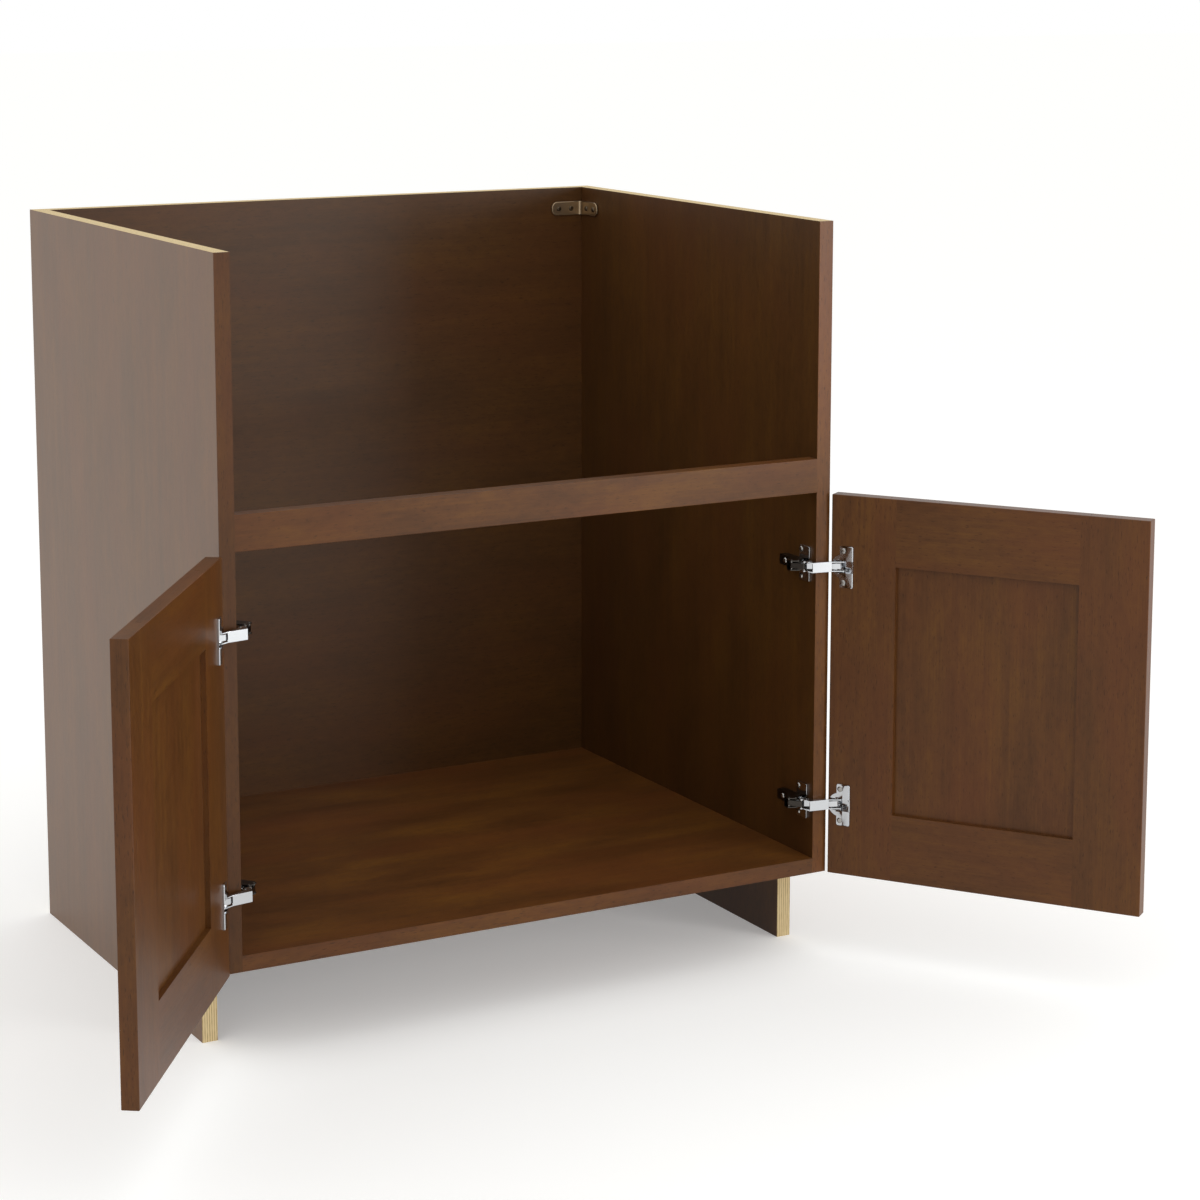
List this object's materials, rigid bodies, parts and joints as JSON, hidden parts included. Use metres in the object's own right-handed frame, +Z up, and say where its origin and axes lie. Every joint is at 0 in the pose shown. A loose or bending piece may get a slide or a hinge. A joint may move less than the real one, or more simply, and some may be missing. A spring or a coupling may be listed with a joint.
{
  "type": "sink base cabinet",
  "caption": "Frameless kitchen base cabinet for an apron-front sink: open sink bay above a low rail, storage space behind framed doors on link hinges, standing open.",
  "frame": {"origin": "on the floor, at the middle of the whole object with both doors open", "axes": "+X to the right seen from the front, +Y from front to back, +Z up"},
  "size_m": [1.2238, 0.904, 0.8763],
  "materials": {
    "side_board": "stained and lacquered veneer on plywood, raw upper edge",
    "stained_edge": "stained veneer strip",
    "deck_board": "stained and lacquered veneer on plywood",
    "back_board": "stained and lacquered veneer on plywood",
    "rail_board": "stained and lacquered",
    "dowel_wood": "raw hardwood",
    "door_stile_wood": "stained and lacquered",
    "door_rail_wood": "stained and lacquered",
    "door_infill_wood": "stained and lacquered veneer",
    "hinge_nickel": "bright nickel plate",
    "screw_nickel": "nickel plate",
    "pin_steel": "bright",
    "bracket_bronze": "dark antique bronze",
    "bracket_screw": "dark antique bronze"
  },
  "bodies": {
    "carcass": {"deck_panel": "deck_board", "deck_edge_band": "stained_edge", "back_panel": "back_board", "apron_rail": "rail_board", "side_panel_right": "side_board", "side_edge_band_right": "stained_edge", "rail_dowels_right": "dowel_wood", "corner_bracket_right": "bracket_bronze", "bracket_screws_right": "bracket_screw", "mounting_plates_right": "hinge_nickel", "mounting_plate_screws_right": "screw_nickel", "hinge_arms_right": "hinge_nickel", "hinge_arm_screws_right": "screw_nickel", "hinge_arm_pins_right": "pin_steel", "side_panel_left": "side_board", "side_edge_band_left": "stained_edge", "rail_dowels_left": "dowel_wood", "corner_bracket_left": "bracket_bronze", "bracket_screws_left": "bracket_screw", "mounting_plates_left": "hinge_nickel", "mounting_plate_screws_left": "screw_nickel", "hinge_arms_left": "hinge_nickel", "hinge_arm_screws_left": "screw_nickel", "hinge_arm_pins_left": "pin_steel"},
    "door_right": {"door_hinge_stile_right": "door_stile_wood", "door_meeting_stile_right": "door_stile_wood", "door_top_rail_right": "door_rail_wood", "door_bottom_rail_right": "door_rail_wood", "door_panel_right": "door_infill_wood", "hinge_cups_right": "hinge_nickel", "hinge_cup_pins_right": "pin_steel", "hinge_cup_screws_right": "screw_nickel"},
    "swing_links_right": {"hinge_swing_links_right": "hinge_nickel", "hinge_swing_pins_right": "pin_steel"},
    "guide_links_right": {"hinge_guide_links_right": "hinge_nickel", "hinge_guide_pins_right": "pin_steel"},
    "outer_links_right": {"hinge_outer_links_right": "hinge_nickel"},
    "inner_links_right": {"hinge_inner_links_right": "hinge_nickel"},
    "door_left": {"door_hinge_stile_left": "door_stile_wood", "door_meeting_stile_left": "door_stile_wood", "door_top_rail_left": "door_rail_wood", "door_bottom_rail_left": "door_rail_wood", "door_panel_left": "door_infill_wood", "hinge_cups_left": "hinge_nickel", "hinge_cup_pins_left": "pin_steel", "hinge_cup_screws_left": "screw_nickel"},
    "swing_links_left": {"hinge_swing_links_left": "hinge_nickel", "hinge_swing_pins_left": "pin_steel"},
    "guide_links_left": {"hinge_guide_links_left": "hinge_nickel", "hinge_guide_pins_left": "pin_steel"},
    "outer_links_left": {"hinge_outer_links_left": "hinge_nickel"},
    "inner_links_left": {"hinge_inner_links_left": "hinge_nickel"}
  },
  "joints": [
    {"name": "door_hinge_right", "type": "hinge", "parent": "carcass", "child": "door_right", "pos_m": [0.38114, -0.13972, 0.3298], "axis": [0, 0, 1], "range_deg": [-125, 0]},
    {"name": "swing_pivot_right", "type": "hinge", "parent": "carcass", "child": "swing_links_right", "pos_m": [0.34823, -0.12072, 0.3298], "axis": [0, 0, 1], "range_deg": [-125, 0]},
    {"name": "guide_pivot_right", "type": "hinge", "parent": "carcass", "child": "guide_links_right", "pos_m": [0.34107, -0.11715, 0.3298], "axis": [0, 0, 1], "range_deg": [-125, 0]},
    {"name": "outer_pivot_right", "type": "hinge", "parent": "swing_links_right", "child": "outer_links_right", "pos_m": [0.35749, -0.13333, 0.3298], "axis": [0, 0, 1], "range_deg": [0, 125]},
    {"name": "inner_pivot_right", "type": "hinge", "parent": "swing_links_right", "child": "inner_links_right", "pos_m": [0.35557, -0.12918, 0.3298], "axis": [0, 0, 1], "range_deg": [0, 125]},
    {"name": "door_hinge_left", "type": "hinge", "parent": "carcass", "child": "door_left", "pos_m": [-0.38114, -0.13972, 0.3298], "axis": [0, 0, -1], "range_deg": [-125, 0]},
    {"name": "swing_pivot_left", "type": "hinge", "parent": "carcass", "child": "swing_links_left", "pos_m": [-0.34823, -0.12072, 0.3298], "axis": [0, 0, -1], "range_deg": [-125, 0]},
    {"name": "guide_pivot_left", "type": "hinge", "parent": "carcass", "child": "guide_links_left", "pos_m": [-0.34107, -0.11715, 0.3298], "axis": [0, 0, -1], "range_deg": [-125, 0]},
    {"name": "outer_pivot_left", "type": "hinge", "parent": "swing_links_left", "child": "outer_links_left", "pos_m": [-0.35749, -0.13333, 0.3298], "axis": [0, 0, -1], "range_deg": [0, 125]},
    {"name": "inner_pivot_left", "type": "hinge", "parent": "swing_links_left", "child": "inner_links_left", "pos_m": [-0.35557, -0.12918, 0.3298], "axis": [0, 0, -1], "range_deg": [0, 125]}
  ],
  "couplings": [
    {"joint": "swing_pivot_right", "follows": "door_hinge_right", "ratio": 1},
    {"joint": "guide_pivot_right", "follows": "door_hinge_right", "ratio": 1},
    {"joint": "outer_pivot_right", "follows": "door_hinge_right", "ratio": -1},
    {"joint": "inner_pivot_right", "follows": "door_hinge_right", "ratio": -1},
    {"joint": "swing_pivot_left", "follows": "door_hinge_left", "ratio": 1},
    {"joint": "guide_pivot_left", "follows": "door_hinge_left", "ratio": 1},
    {"joint": "outer_pivot_left", "follows": "door_hinge_left", "ratio": -1},
    {"joint": "inner_pivot_left", "follows": "door_hinge_left", "ratio": -1}
  ]
}
